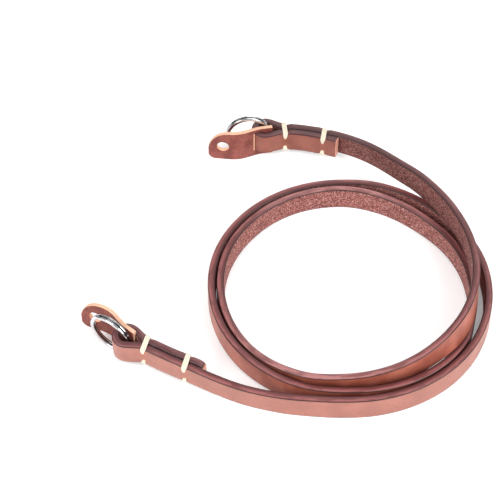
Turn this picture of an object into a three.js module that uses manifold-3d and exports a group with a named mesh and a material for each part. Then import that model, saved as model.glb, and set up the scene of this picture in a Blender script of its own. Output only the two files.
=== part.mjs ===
// Camera neck strap: one narrow leather strap, coiled while it stands on its long edge. Each end is
// folded back to the flesh side as an eye, which holds a steel split ring, and a leather guard
// stands beside each ring. Millimetres, +Z up, with the origin under the middle of the whole coil.

import * as THREE from 'three';
import { mergeVertices } from 'three/addons/utils/BufferGeometryUtils.js';
import Module from 'manifold-3d';

const wasm = await Module();
wasm.setup();

// Strap
const strapWidth = 10;
const strapThickness = 3;
const edgeBevel = 0.6;
const pieceGap = 0.3;

// Coil
const coilRadius = 50;
const strandGap = 0.4;
const stationStep = 4;

// Folded eye, from the binding nearest the bend
const bindingSpacing = 17.5;
const tailBeyondBinding = 6.5;
const flareAngle = 22;
const flareRadius = 7;
const bendRadius = 4.3;
const pinchDepth = 0.7;
const pinchReach = 2;
const eyeLift = 3.2;

// Split ring
const ringOuterRadius = 9.5;
const ringWireWidth = 1.5;
const ringTurnHeight = 1;
const ringTurnGap = 0.12;
const ringCrank = 50;
const ringWireBevel = 0.25;
const ringAside = 0.35;

// Guard
const guardThickness = 1.6;
const guardWidth = 15;
const guardReach = 33;
const guardOffsetNear = 8.6;
const guardOffsetFar = 8;
const guardTipHeight = 4;
const guardTopRound = 9;
const guardBottomRound = 3;
const lugHoleRadius = 2.6;
const lugHoleInset = 6.5;

const strandPitch = strapThickness + strandGap;
const layerPitch = strapThickness + pieceGap;
const crossingHeight = strapWidth + pieceGap;
const tailLength = bindingSpacing + tailBeyondBinding;

// The strap's middle line in plan, from the far end to the near end. turn is in degrees clockwise
// from the far side of the coil, reach is a share of the coil's radius, lane is how many strands lie
// inside this one, lift is a share of the height that clears a strand, and lean tips the top
// outwards, in degrees.
const ROUTE = [
  { turn: -15, reach: 1.744, lane: 0, lift: eyeLift / crossingHeight, lean: 0 },
  { turn: -6, reach: 1.648, lane: 0, lift: eyeLift / crossingHeight, lean: 0 },
  { turn: 7, reach: 1.488, lane: 0, lift: 0.42, lean: 0 },
  { turn: 23, reach: 1.258, lane: 0, lift: 0.78, lean: 2 },
  { turn: 34, reach: 1.166, lane: 0, lift: 0.96, lean: 4 },
  { turn: 47, reach: 1.1, lane: 0, lift: 1, lean: 5 },
  { turn: 64, reach: 1.053, lane: 0, lift: 1, lean: 2 },
  { turn: 85, reach: 1.026, lane: 0, lift: 1, lean: 0 },
  { turn: 104, reach: 1.019, lane: 0, lift: 1, lean: -4 },
  { turn: 115, reach: 1.025, lane: 0, lift: 1, lean: -11 },
  { turn: 126, reach: 1.028, lane: 0, lift: 1, lean: -13 },
  { turn: 134, reach: 1.024, lane: 0, lift: 0.96, lean: -9 },
  { turn: 142, reach: 1.011, lane: 0, lift: 0.82, lean: -4 },
  { turn: 150, reach: 1.005, lane: 0, lift: 0.7, lean: -2 },
  { turn: 180, reach: 0.998, lane: 0, lift: 0.38, lean: 0 },
  { turn: 202, reach: 1.018, lane: 0, lift: 0.2, lean: 0 },
  { turn: 232, reach: 1.009, lane: 0, lift: 0, lean: 0 },
  { turn: 260, reach: 0.996, lane: 0, lift: 0, lean: 0 },
  { turn: 300, reach: 0.991, lane: 0, lift: 0, lean: 5 },
  { turn: 340, reach: 1.004, lane: 0, lift: 0, lean: 3 },
  { turn: 360, reach: 1.006, lane: 0, lift: 0, lean: 4 },
  { turn: 380, reach: 0.983, lane: 0, lift: 0, lean: 3 },
  { turn: 402, reach: 0.962, lane: 0, lift: 0, lean: 2 },
  { turn: 425, reach: 0.98, lane: 0, lift: 0, lean: 0 },
  { turn: 445, reach: 1, lane: 0, lift: 0, lean: 0 },
  { turn: 462, reach: 1.016, lane: 0.15, lift: 0, lean: 0 },
  { turn: 475, reach: 1.01, lane: 0.6, lift: 0, lean: 0 },
  { turn: 484, reach: 1.012, lane: 1, lift: 0, lean: 0 },
  { turn: 496, reach: 1.018, lane: 1, lift: 0, lean: 0 },
  { turn: 510, reach: 1.015, lane: 1, lift: 0, lean: 0 },
  { turn: 525, reach: 1.007, lane: 1, lift: 0, lean: 0 },
  { turn: 540, reach: 0.998, lane: 1, lift: 0, lean: 0 },
  { turn: 562, reach: 1.018, lane: 1, lift: 0, lean: 0 },
  { turn: 592, reach: 1.01, lane: 1, lift: 0, lean: 0 },
  { turn: 620, reach: 0.999, lane: 1, lift: 0, lean: 0 },
  { turn: 660, reach: 0.993, lane: 1, lift: 0, lean: 5 },
  { turn: 700, reach: 1.007, lane: 1, lift: 0, lean: 3 },
  { turn: 720, reach: 1.012, lane: 1, lift: 0, lean: 4 },
  { turn: 737, reach: 1.026, lane: 1, lift: 0, lean: 3 },
  { turn: 762, reach: 1.024, lane: 1, lift: 0, lean: 2 },
  { turn: 796, reach: 1.046, lane: 1.2, lift: 0, lean: 0 },
  { turn: 830, reach: 1.02, lane: 1.85, lift: 0, lean: -1 },
  { turn: 865, reach: 1.022, lane: 2, lift: 0, lean: -3 },
  { turn: 900, reach: 1.024, lane: 2, lift: 0, lean: -3 },
  { turn: 911, reach: 1.04, lane: 2, lift: 0, lean: -2 },
  { turn: 925, reach: 1.1, lane: 2, lift: 0, lean: 0 },
  { turn: 939, reach: 1.194, lane: 2, lift: 0, lean: 3 },
  { turn: 947, reach: 1.264, lane: 2, lift: 0.05, lean: 4 },
  { turn: 954.3, reach: 1.352, lane: 2, lift: 0.13, lean: 4 },
  { turn: 960.5, reach: 1.459, lane: 2, lift: 0.2, lean: 3 },
  { turn: 965.9, reach: 1.58, lane: 2, lift: eyeLift / crossingHeight, lean: 2 },
];

// The guard's middle line beside the eye: along is a share of its reach outwards, and out a share of
// how far it stands off towards the folded tail.
const GUARD_LINE = [
  { along: 0.175, out: 0.33 },
  { along: 0.26, out: 0.42 },
  { along: 0.34, out: 0.5 },
  { along: 0.44, out: 0.69 },
  { along: 0.55, out: 0.9 },
  { along: 0.66, out: 1 },
  { along: 0.82, out: 0.98 },
  { along: 1, out: 0.93 },
];

// How each end lies. The ring's swing is its turn from the strap's line towards the tail side, and
// its tip how far its top leans towards the main layer, in degrees. The guard stands off by its offset.
const ENDS = {
  near: { swing: 8, tip: 4, offset: guardOffsetNear },
  far: { swing: 8, tip: 0, offset: guardOffsetFar },
};

const UP = new THREE.Vector3(0, 0, 1);
const radians = THREE.MathUtils.degToRad;

// The slope at an end of a column, from its last two rises.
function endSlope(turns, rises, last, before) {
  const [near, far] = [turns[last + 1] - turns[last], turns[before + 1] - turns[before]];
  const slope = ((2 * near + far) * rises[last] - near * rises[before]) / (near + far);
  return slope * rises[last] > 0 ? slope : 0;
}

// A smooth reading of one column of the route, which never passes beyond its rows.
function column(name) {
  const turns = ROUTE.map((row) => row.turn);
  const values = ROUTE.map((row) => row[name]);
  const rises = turns.slice(1).map((turn, i) => (values[i + 1] - values[i]) / (turn - turns[i]));
  const slopes = turns.map((turn, i) => {
    if (i === 0) return endSlope(turns, rises, 0, 1);
    if (i === turns.length - 1) return endSlope(turns, rises, i - 1, i - 2);
    if (rises[i - 1] * rises[i] <= 0) return 0;
    return (2 * rises[i - 1] * rises[i]) / (rises[i - 1] + rises[i]);
  });
  return (turn) => {
    const next = turns.findIndex((t, i) => i > 0 && turn <= t);
    const i = next < 0 ? turns.length - 2 : next - 1;
    const span = turns[i + 1] - turns[i];
    const t = (turn - turns[i]) / span;
    const blend = t * t * (3 - 2 * t);
    const lead = t * (1 - t) * (1 - t) * slopes[i] * span;
    const trail = t * t * (t - 1) * slopes[i + 1] * span;
    return values[i] + (values[i + 1] - values[i]) * blend + lead + trail;
  };
}

// The route as a fine line of plan points with their lift and lean, and the length up to each.
function routeLine() {
  const read = {};
  for (const name of ['reach', 'lane', 'lift', 'lean']) read[name] = column(name);
  const first = ROUTE[0].turn;
  const last = ROUTE[ROUTE.length - 1].turn;
  const steps = Math.ceil((last - first) * 2);
  const line = [];
  for (let i = 0; i <= steps; i++) {
    const turn = first + ((last - first) * i) / steps;
    const radius = coilRadius * read.reach(turn) + strandPitch * read.lane(turn);
    const angle = radians(90 - turn);
    const point = new THREE.Vector2(Math.cos(angle), Math.sin(angle)).multiplyScalar(radius);
    const before = line[i - 1];
    const length = before ? before.length + before.point.distanceTo(point) : 0;
    line.push({ point, length, lift: crossingHeight * read.lift(turn), lean: read.lean(turn) });
  }
  return line;
}

// The strap's section: a runs towards the flesh side and b up.
function strapSection(width, grow = 0) {
  const a = strapThickness / 2 + grow;
  const b = width / 2 + grow;
  const c = edgeBevel;
  return [[a - c, -b], [a, c - b], [a, b - c], [a - c, b], [c - a, b], [-a, b - c], [-a, c - b], [c - a, -b]];
}

// How high the middle of a leaning strap stands over its lowest edge.
function standHeight(lean) {
  const drops = strapSection(strapWidth).map(([a, b]) => -a * Math.sin(lean) - b * Math.cos(lean));
  return Math.max(...drops);
}

// How much narrower the strap is where a binding draws its edges in.
function pinchAt(distances) {
  const near = Math.min(...distances.map(Math.abs)) / pinchReach;
  return near < 1 ? pinchDepth * (1 - near * near) ** 2 : 0;
}

// A station on the route: the middle of the strap, the flesh direction, its own up and its width.
function routeStation(line, length, bindings) {
  const next = Math.max(1, line.findIndex((p) => p.length >= length));
  const [p, q] = [line[next - 1], line[next]];
  const t = (length - p.length) / (q.length - p.length);
  const ahead = q.point.clone().sub(p.point).normalize();
  const flesh = new THREE.Vector3(ahead.y, -ahead.x, 0);
  const lean = radians(THREE.MathUtils.lerp(p.lean, q.lean, t));
  const across = flesh.clone().multiplyScalar(Math.cos(lean)).addScaledVector(UP, Math.sin(lean));
  const up = flesh.clone().multiplyScalar(-Math.sin(lean)).addScaledVector(UP, Math.cos(lean));
  const plan = p.point.clone().lerp(q.point, t);
  const height = THREE.MathUtils.lerp(p.lift, q.lift, t) + standHeight(lean);
  const middle = new THREE.Vector3(plan.x, plan.y, height);
  const width = strapWidth - 2 * pinchAt(bindings.map((b) => length - b));
  return { middle, across, up, width, ahead: new THREE.Vector3(ahead.x, ahead.y, 0) };
}

// The eye in its own plane, from the main layer round to the tail layer: u outwards, v to the tail.
function eyeLine() {
  const flare = radians(flareAngle);
  const middle = layerPitch / 2;
  const rise = flareRadius * (1 - Math.cos(flare));
  const straight = (bendRadius * Math.cos(flare) - middle - rise) / Math.sin(flare);
  const path = new THREE.CurvePath();
  const arc = (u, v, radius, from, to, clockwise) =>
    path.add(new THREE.EllipseCurve(u, v, radius, radius, from, to, clockwise));
  arc(0, -flareRadius, flareRadius, Math.PI / 2, Math.PI / 2 - flare, true);
  const corner = path.curves[0].getPoint(1);
  const slope = new THREE.Vector2(Math.cos(flare), -Math.sin(flare));
  const entry = corner.clone().addScaledVector(slope, straight);
  path.add(new THREE.LineCurve(corner, entry));
  const centre = entry.x + bendRadius * Math.sin(flare);
  arc(centre, middle, bendRadius, -Math.PI / 2 - flare, Math.PI / 2 + flare, false);
  const exit = new THREE.Vector2(entry.x, 2 * middle - entry.y);
  path.add(new THREE.LineCurve(exit, new THREE.Vector2(corner.x, 2 * middle - corner.y)));
  arc(0, 2 * middle + flareRadius, flareRadius, flare - Math.PI / 2, -Math.PI / 2, true);
  return { path, centre };
}

const EYE = eyeLine();
const EYE_STEPS = [4, 2, 14, 2, 4];

// The eye's stations beyond the route's end. outward points away from the coil.
function eyeStations(end, outward) {
  const stations = [];
  EYE.path.curves.forEach((curve, k) => {
    for (let i = 1; i <= EYE_STEPS[k]; i++) {
      const t = i / EYE_STEPS[k];
      const [point, ahead] = [curve.getPoint(t), curve.getTangent(t)];
      const middle = end.middle.clone().addScaledVector(outward, point.x).addScaledVector(end.across, point.y);
      const across = outward.clone().multiplyScalar(-ahead.y).addScaledVector(end.across, ahead.x);
      const width = strapWidth - 2 * pinchAt([point.x]);
      stations.push({ middle, across, up: end.up, width });
    }
  });
  return stations;
}

// A route station seen from the layer that is folded back on it.
function foldedBack(station) {
  const middle = station.middle.clone().addScaledVector(station.across, layerPitch);
  return { middle, across: station.across.clone().negate(), up: station.up, width: station.width };
}

// A closed body through rings of points, with its faces turned outwards.
function bodyThrough(rings) {
  const count = rings[0].length;
  const points = rings.flat();
  const faces = [];
  for (let i = 0; i < rings.length - 1; i++) {
    for (let j = 0; j < count; j++) {
      const [a, b] = [i * count + j, i * count + ((j + 1) % count)];
      faces.push([a, b, b + count], [a, b + count, a + count]);
    }
  }
  const lastRing = (rings.length - 1) * count;
  for (let j = 1; j < count - 1; j++) {
    faces.push([0, j + 1, j], [lastRing, lastRing + j, lastRing + j + 1]);
  }
  const volume = faces.reduce((sum, [a, b, c]) => sum + points[a].dot(points[b].clone().cross(points[c])), 0);
  const index = faces.flatMap(([a, b, c]) => (volume > 0 ? [a, b, c] : [a, c, b]));
  const geometry = new THREE.BufferGeometry().setFromPoints(points);
  geometry.setIndex(index);
  return geometry;
}

function strapBody(stations, grow = 0) {
  const rings = stations.map(({ middle, across, up, width }) =>
    strapSection(width, grow).map(([a, b]) => middle.clone().addScaledVector(across, a).addScaledVector(up, b)));
  return bodyThrough(rings);
}

function toSolid(geometry) {
  const bare = geometry.clone();
  bare.deleteAttribute('normal');
  bare.deleteAttribute('uv');
  const merged = mergeVertices(bare, 1e-4);
  const vertProperties = new Float32Array(merged.attributes.position.array);
  const triVerts = new Uint32Array(merged.index.array);
  return new wasm.Manifold(new wasm.Mesh({ numProp: 3, vertProperties, triVerts }));
}

function toGeometry(solid) {
  const mesh = solid.getMesh();
  const geometry = new THREE.BufferGeometry();
  geometry.setAttribute('position', new THREE.BufferAttribute(mesh.vertProperties, 3));
  geometry.setIndex(new THREE.BufferAttribute(mesh.triVerts, 1));
  return geometry;
}

// The whole strap: far tail, far eye, route, near eye and near tail.
function makeStrap() {
  const line = routeLine();
  const total = line[line.length - 1].length;
  const bindings = [0, bindingSpacing, total - bindingSpacing, total];
  const lengths = new Set([0, total, tailLength, total - tailLength]);
  const plain = Math.round(total / stationStep);
  for (let i = 1; i < plain; i++) lengths.add((total * i) / plain);
  for (const binding of bindings) {
    for (const step of [-2, -1.2, -0.6, 0, 0.6, 1.2, 2]) {
      const length = binding + (step * pinchReach) / 2;
      if (length > 0 && length < total) lengths.add(length);
    }
  }
  const ordered = [...lengths].sort((a, b) => a - b).filter((d, i, all) => i === 0 || d - all[i - 1] > 0.2);
  const main = ordered.map((length) => routeStation(line, length, bindings));
  const farTail = ordered.filter((length) => length <= tailLength);
  const nearTail = ordered.filter((length) => length >= total - tailLength).reverse();
  const folded = (length) => foldedBack(routeStation(line, length, bindings));
  const ends = {
    far: { station: main[0], outward: main[0].ahead.clone().negate() },
    near: { station: main[main.length - 1], outward: main[main.length - 1].ahead.clone() },
  };
  for (const end of Object.values(ends)) end.eye = eyeStations(end.station, end.outward);
  const stations = [
    ...farTail.slice(1).reverse().map(folded),
    ...[...ends.far.eye].reverse(),
    ...main,
    ...ends.near.eye,
    ...nearTail.slice(1).map(folded),
  ];
  return { geometry: strapBody(stations), ends };
}

// The guard's outline at a distance from its free end: how low and how high the leather reaches.
function guardHeights(fromTip) {
  const round = (reach) => Math.sqrt(Math.max(0, 1 - Math.max(0, 1 - fromTip / reach) ** 2));
  const top = guardTipHeight + (guardWidth - guardTipHeight) * round(guardTopRound);
  return [guardTipHeight * (1 - round(guardBottomRound)), top];
}

// A guard in the frame of its end: x outwards, y towards the tail side. The leather of the eye
// passes through a slot in it, which follows the strap with the gap between pieces.
function makeGuard(end, offset, side, toLocal) {
  const points = GUARD_LINE.map(({ along, out }) => new THREE.Vector2(guardReach * along, offset * out));
  const curve = new THREE.SplineCurve(points);
  const length = curve.getLength();
  const spans = [...Array(22).keys()].map((i) => (i / 22) * (1 - guardTopRound / length));
  for (const share of [1, 0.8, 0.6, 0.42, 0.28, 0.16, 0.08, 0.03]) {
    spans.push(1 - (share * guardTopRound) / length);
  }
  const rings = spans.map((span) => {
    const [middle, ahead] = [curve.getPointAt(span), curve.getTangentAt(span)];
    const [low, high] = guardHeights((1 - span) * length);
    const corner = (way, z) => {
      const half = (way * guardThickness) / 2;
      return new THREE.Vector3(middle.x - ahead.y * half, side * (middle.y + ahead.x * half), z);
    };
    return [corner(-1, low), corner(1, low), corner(1, high), corner(-1, high)];
  });
  const hole = new THREE.CylinderGeometry(lugHoleRadius, lugHoleRadius, 4 * guardThickness, 24);
  const holeAt = curve.getPointAt(1 - lugHoleInset / length);
  hole.translate(holeAt.x, side * holeAt.y, guardWidth / 2);
  const loose = end.eye.slice(EYE_STEPS[0], -EYE_STEPS[0]);
  const grown = strapBody(loose, pieceGap).applyMatrix4(toLocal);
  return toGeometry(toSolid(bodyThrough(rings)).subtract(toSolid(grown)).subtract(toSolid(hole)));
}

// A split ring about its own Z: two flat turns of one wire, with a crank between them.
function makeRing() {
  const pitch = ringTurnHeight + ringTurnGap;
  const crank = radians(ringCrank);
  const full = 2 * Math.PI;
  const sweep = 2 * full - crank * 1.1;
  const steps = 64;
  const middle = ringOuterRadius - ringWireWidth / 2;
  const [a, b, c] = [ringWireWidth / 2, ringTurnHeight / 2, ringWireBevel];
  const section = [[a - c, -b], [a, c - b], [a, b - c], [a - c, b], [c - a, b], [-a, b - c], [-a, c - b], [c - a, -b]];
  const rings = [];
  for (let i = 0; i <= steps; i++) {
    const angle = (sweep * i) / steps;
    const climb = THREE.MathUtils.smoothstep(angle, full - crank, full);
    const level = pitch * (climb - 0.5);
    rings.push(section.map(([out, up]) =>
      new THREE.Vector3((middle + out) * Math.cos(angle), (middle + out) * Math.sin(angle), level + up)));
  }
  return bodyThrough(rings);
}

// Where a ring lies in the frame of its end. Its lowest point touches the surface, and the eye's
// bend passes through it as near to the wire as the strap's width allows. It stands a little aside
// from the middle of the eye, so that it clears the guard as well as the strap.
function placeRing(mesh, { swing, tip }, side) {
  const [turn, lean] = [radians(swing), radians(tip)];
  const axial = ringTurnHeight + ringTurnGap / 2;
  const height = ringOuterRadius * Math.cos(lean) + axial * Math.sin(lean);
  const reach = ringOuterRadius - ringWireWidth;
  const drop = Math.max(height - eyeLift, eyeLift + strapWidth - height) / Math.cos(lean) + pieceGap;
  const chord = Math.sqrt(Math.max(0, reach * reach - drop * drop));
  const wall = EYE.centre + bendRadius - strapThickness / 2;
  const along = new THREE.Vector3(Math.cos(turn), side * Math.sin(turn), 0);
  const aside = new THREE.Vector3(Math.sin(turn), -side * Math.cos(turn), 0);
  const up = aside.clone().multiplyScalar(Math.sin(lean)).addScaledVector(UP, Math.cos(lean));
  mesh.position.set(wall + chord, side * (layerPitch / 2 + ringAside), height);
  const basis = new THREE.Matrix4().makeBasis(along, up, along.clone().cross(up));
  mesh.quaternion.setFromRotationMatrix(basis);
}

function leather(color) {
  return new THREE.MeshStandardMaterial({ color, roughness: 0.55, metalness: 0 });
}

function named(name, geometry, material) {
  const mesh = new THREE.Mesh(geometry, material);
  mesh.name = name;
  return mesh;
}

const root = new THREE.Group();
const coil = new THREE.Group();
root.add(coil);

const strap = makeStrap();
coil.add(named('strap', strap.geometry, leather(0x8c4136)));

for (const [name, end] of Object.entries(strap.ends)) {
  const group = new THREE.Group();
  const { station, outward } = end;
  const side = name === 'far' ? 1 : -1;
  group.position.set(station.middle.x, station.middle.y, 0);
  group.rotation.z = Math.atan2(outward.y, outward.x);
  group.updateMatrixWorld(true);
  const toLocal = group.matrixWorld.clone().invert();
  group.add(named(`guard_${name}`, makeGuard(end, ENDS[name].offset, side, toLocal), leather(0x8a4a3e)));
  const steel = new THREE.MeshStandardMaterial({ color: 0xc9ccce, roughness: 0.2, metalness: 1 });
  const ring = named(`ring_${name}`, makeRing(), steel);
  placeRing(ring, ENDS[name], side);
  group.add(ring);
  coil.add(group);
}

// The origin is on the surface under the middle of the whole part.
const box = new THREE.Box3().setFromObject(coil, true);
coil.position.set(-(box.min.x + box.max.x) / 2, -(box.min.y + box.max.y) / 2, -box.min.z);

export default root;
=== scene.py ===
# %% [markdown]
# # A leather camera neck strap
# The object is one narrow leather strap, coiled while it stands on its long edge. Both ends fold
# back to hold a steel split ring, two thread bindings hold each fold, and a thin leather guard
# stands beside each ring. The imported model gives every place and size, and this file adds the looks.

import math

import bpy
import numpy as np
from mathutils import Matrix, Vector
from mathutils.bvhtree import BVHTree


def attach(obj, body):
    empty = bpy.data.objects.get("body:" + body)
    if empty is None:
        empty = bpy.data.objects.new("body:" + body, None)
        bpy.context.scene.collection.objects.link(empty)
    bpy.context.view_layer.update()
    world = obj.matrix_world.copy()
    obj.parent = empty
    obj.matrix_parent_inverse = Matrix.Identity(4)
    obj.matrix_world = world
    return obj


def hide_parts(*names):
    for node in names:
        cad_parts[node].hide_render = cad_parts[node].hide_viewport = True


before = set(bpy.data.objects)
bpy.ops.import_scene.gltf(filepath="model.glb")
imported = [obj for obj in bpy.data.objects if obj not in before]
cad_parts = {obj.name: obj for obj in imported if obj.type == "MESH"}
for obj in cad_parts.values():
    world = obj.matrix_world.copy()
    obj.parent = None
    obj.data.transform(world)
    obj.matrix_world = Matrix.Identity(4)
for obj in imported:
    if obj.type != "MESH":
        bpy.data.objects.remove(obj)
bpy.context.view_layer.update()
MM = 0.001
scene = bpy.context.scene

# %% [markdown]
# ## Camera
# A product photo of a small thing is taken from some way off with a long lens, which keeps the
# coil's near and far sides almost equally large. The camera looks down at 49 degrees.

# %% Camera
ELEVATION = math.radians(49)
VIEW_DISTANCE = 0.7
VIEW_CENTRE = Vector((-0.0149, 0.0104, 0))
LENS = 122.4

camera_data = bpy.data.cameras.new("camera")
camera_data.lens = LENS
camera = bpy.data.objects.new("camera", camera_data)
towards_camera = Vector((0, -math.cos(ELEVATION), math.sin(ELEVATION)))
camera.location = VIEW_CENTRE + VIEW_DISTANCE * towards_camera
camera.rotation_euler = (math.pi / 2 - ELEVATION, 0, 0)
scene.collection.objects.link(camera)
scene.camera = camera
print("camera at", [round(v, 3) for v in camera.location])

# %% [markdown]
# ## Floor and light
# Leather shows its grain in broad soft light. Two panels, in front to the left and to the right, are
# the main light, and a weak one from behind puts a sheen on the upper edges. The world is white
# overhead and dark near the horizon: that leaves the narrow gaps of the coil deep, and polished steel
# something dark to reflect, without which it looks like white plastic. The floor glows a little, like
# a light table, so that the shadows stay pale.

# %% Floor and light
SKY_STRENGTH = 0.55
SKY_DARK_UP_TO = 0.16
SKY_WHITE_FROM = 0.42
HORIZON = (0.05, 0.05, 0.055, 1)
WHITE = (1, 1, 1, 1)
FLOOR_SIZE = 8
FLOOR_TONE = (0.93, 0.93, 0.93, 1)
FLOOR_GLOW = 0.22
# Each panel's place and side in metres, and its power in watts.
PANELS = {
    "left_panel": ((-0.6, -0.45, 0.62), 0.5, 6.2),
    "right_panel": ((0.62, -0.42, 0.6), 0.5, 6.8),
    "back_panel": ((0.2, 0.8, 0.7), 0.6, 2),
}

scene.view_settings.view_transform = "Standard"

world = bpy.data.worlds.new("studio")
world.use_nodes = True
sky_tree = world.node_tree
direction = sky_tree.nodes.new("ShaderNodeTexCoord")
parts = sky_tree.nodes.new("ShaderNodeSeparateXYZ")
sky = sky_tree.nodes.new("ShaderNodeValToRGB")
for i, (position, colour) in enumerate(((SKY_DARK_UP_TO, HORIZON), (SKY_WHITE_FROM, WHITE))):
    sky.color_ramp.elements[i].position = position
    sky.color_ramp.elements[i].color = colour
sky_tree.links.new(direction.outputs["Generated"], parts.inputs[0])
sky_tree.links.new(parts.outputs["Z"], sky.inputs[0])
sky_tree.links.new(sky.outputs[0], sky_tree.nodes["Background"].inputs["Color"])
sky_tree.nodes["Background"].inputs["Strength"].default_value = SKY_STRENGTH
scene.world = world


def area_light(name, place, size, power):
    """A square panel that faces the middle of the coil."""
    data = bpy.data.lights.new(name, "AREA")
    data.size = size
    data.energy = power
    light = bpy.data.objects.new(name, data)
    light.location = place
    light.rotation_euler = (-Vector(place)).to_track_quat("-Z", "Y").to_euler()
    scene.collection.objects.link(light)


for name, (place, size, power) in PANELS.items():
    area_light(name, place, size, power)

half = FLOOR_SIZE / 2
floor_mesh = bpy.data.meshes.new("floor")
floor_corners = [(-half, -half, 0), (half, -half, 0), (half, half, 0), (-half, half, 0)]
floor_mesh.from_pydata(floor_corners, [], [(0, 1, 2, 3)])
floor = bpy.data.objects.new("floor", floor_mesh)
scene.collection.objects.link(floor)
floor_material = bpy.data.materials.new("pale_floor")
floor_material.use_nodes = True
floor_shader = floor_material.node_tree.nodes["Principled BSDF"]
floor_shader.inputs["Base Color"].default_value = FLOOR_TONE
floor_shader.inputs["Roughness"].default_value = 0.9
floor_shader.inputs["Emission Color"].default_value = WHITE
floor_shader.inputs["Emission Strength"].default_value = FLOOR_GLOW
floor_mesh.materials.append(floor_material)
print("floor and lights ready")

# %% [markdown]
# ## Small helpers for node trees
# Materials and Geometry Nodes are both trees of nodes, and a few short helpers keep the cells below
# readable. They set or link a node's inputs, add a node, do one step of arithmetic, start and end a
# Geometry Nodes tree with named inputs, and turn what a tree grows into a plain mesh.

# %% Node helpers
def put(node, inputs):
    """Set or link each input of a node: a socket is linked, anything else is a fixed value."""
    tree = node.id_data
    for key, value in inputs.items():
        socket = node.inputs[key]
        if isinstance(value, bpy.types.NodeSocket):
            tree.links.new(value, socket)
        else:
            socket.default_value = value
    return node


def add(tree, kind, inputs=None, **settings):
    """A new node of a kind, with its settings and inputs."""
    node = tree.nodes.new(kind)
    for name, value in settings.items():
        setattr(node, name, value)
    return put(node, inputs or {})


def maths(tree, operation, *values):
    """One arithmetic step, as its result socket."""
    node = add(tree, "ShaderNodeMath", operation=operation)
    put(node, dict(enumerate(values)))
    return node.outputs[0]


def new_tree(name, sockets):
    """A Geometry Nodes tree with a geometry input and output and the named inputs."""
    tree = bpy.data.node_groups.new(name, "GeometryNodeTree")
    tree.interface.new_socket("Geometry", in_out="INPUT", socket_type="NodeSocketGeometry")
    for label, (kind, value) in sockets.items():
        socket = tree.interface.new_socket(label, in_out="INPUT", socket_type=kind)
        if value is not None:
            socket.default_value = value
    tree.interface.new_socket("Geometry", in_out="OUTPUT", socket_type="NodeSocketGeometry")
    source = tree.nodes.new("NodeGroupInput")
    result = tree.nodes.new("NodeGroupOutput")
    return tree, source.outputs, result


def finish_tree(tree, result, geometry, material):
    """End a tree in realized instances with their material."""
    real = add(tree, "GeometryNodeRealizeInstances", {"Geometry": geometry})
    painted = add(tree, "GeometryNodeSetMaterial", {"Geometry": real.outputs[0], "Material": material})
    smooth = add(tree, "GeometryNodeSetShadeSmooth", {"Geometry": painted.outputs[0]})
    put(result, {"Geometry": smooth.outputs[0]})


def grown(name, mesh, tree, values):
    """The plain mesh that a tree grows from a starting mesh, as a new object."""
    seed = bpy.data.objects.new(name + "_seed", mesh)
    scene.collection.objects.link(seed)
    modifier = seed.modifiers.new("nodes", "NODES")
    modifier.node_group = tree
    identifiers = {item.name: item.identifier for item in tree.interface.items_tree
                   if item.in_out == "INPUT"}
    for label, value in values.items():
        modifier[identifiers[label]] = value
    depsgraph = bpy.context.evaluated_depsgraph_get()
    plain = bpy.data.meshes.new_from_object(seed.evaluated_get(depsgraph), depsgraph=depsgraph)
    seed.modifiers.remove(modifier)
    bpy.data.objects.remove(seed)
    plain.name = name
    piece = bpy.data.objects.new(name, plain)
    scene.collection.objects.link(piece)
    print(name, "has", len(plain.polygons), "faces")
    return piece


print("helpers ready")

# %% [markdown]
# ## Read the strap's line from the solid
# The solid is a row of eight-sided sections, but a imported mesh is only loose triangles. Its cut end
# is the one flat patch of eight corners, and each next section is what the last one touches. Every
# section then gives its middle, the direction of its flesh side, its own up and its size.

# %% Sections of the solid
WELD = 0.002 * MM
SECTION_CORNERS = 8
FLAT_COSINE = 0.99999
LARGEST_END = 10.5 * MM


def welded(mesh):
    """The distinct points of a mesh of loose triangles, and its faces by those points."""
    corners = np.array([v.co for v in mesh.vertices])
    keys = np.round(corners / WELD).astype(int)
    _, first, back = np.unique(keys, axis=0, return_index=True, return_inverse=True)
    back = back.ravel()
    faces = [[int(back[v]) for v in face.vertices] for face in mesh.polygons]
    return corners[first], [face for face in faces if len(set(face)) == len(face)]


def flat_patch(start, faces, normals, around):
    """The points of the flat patch that a face belongs to."""
    patch, open_faces = {start}, [start]
    while open_faces:
        face = open_faces.pop()
        for point in faces[face]:
            for other in around[point] - patch:
                shared = len(set(faces[face]) & set(faces[other])) >= 2
                if shared and normals[face].dot(normals[other]) > FLAT_COSINE:
                    patch.add(other)
                    open_faces.append(other)
    return {point for face in patch for point in faces[face]}


def section_rings(mesh):
    """The eight corners of each section, from one cut end to the other."""
    points, faces = welded(mesh)
    around = [set() for _ in points]
    normals = []
    for k, face in enumerate(faces):
        a, b, c = (Vector(points[v]) for v in face[:3])
        normals.append((b - a).cross(c - a).normalized())
        for v in face:
            around[v].add(k)
    beside = [{v for k in around[i] for v in faces[k]} - {i} for i in range(len(points))]
    reached, layer = {0}, [0]
    while layer:
        far = layer
        layer = sorted({n for i in layer for n in beside[i]} - reached)
        reached |= set(layer)
    patches = [sorted(flat_patch(k, faces, normals, around)) for k in around[far[0]]]
    ring = next(set(patch) for patch in patches
                if len(patch) == SECTION_CORNERS and np.ptp(points[patch], axis=0).max() < LARGEST_END)
    rings, seen = [], set()
    while ring:
        rings.append(points[sorted(ring)])
        seen |= ring
        ring = {n for i in ring for n in beside[i]} - seen
    return rings


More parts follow.
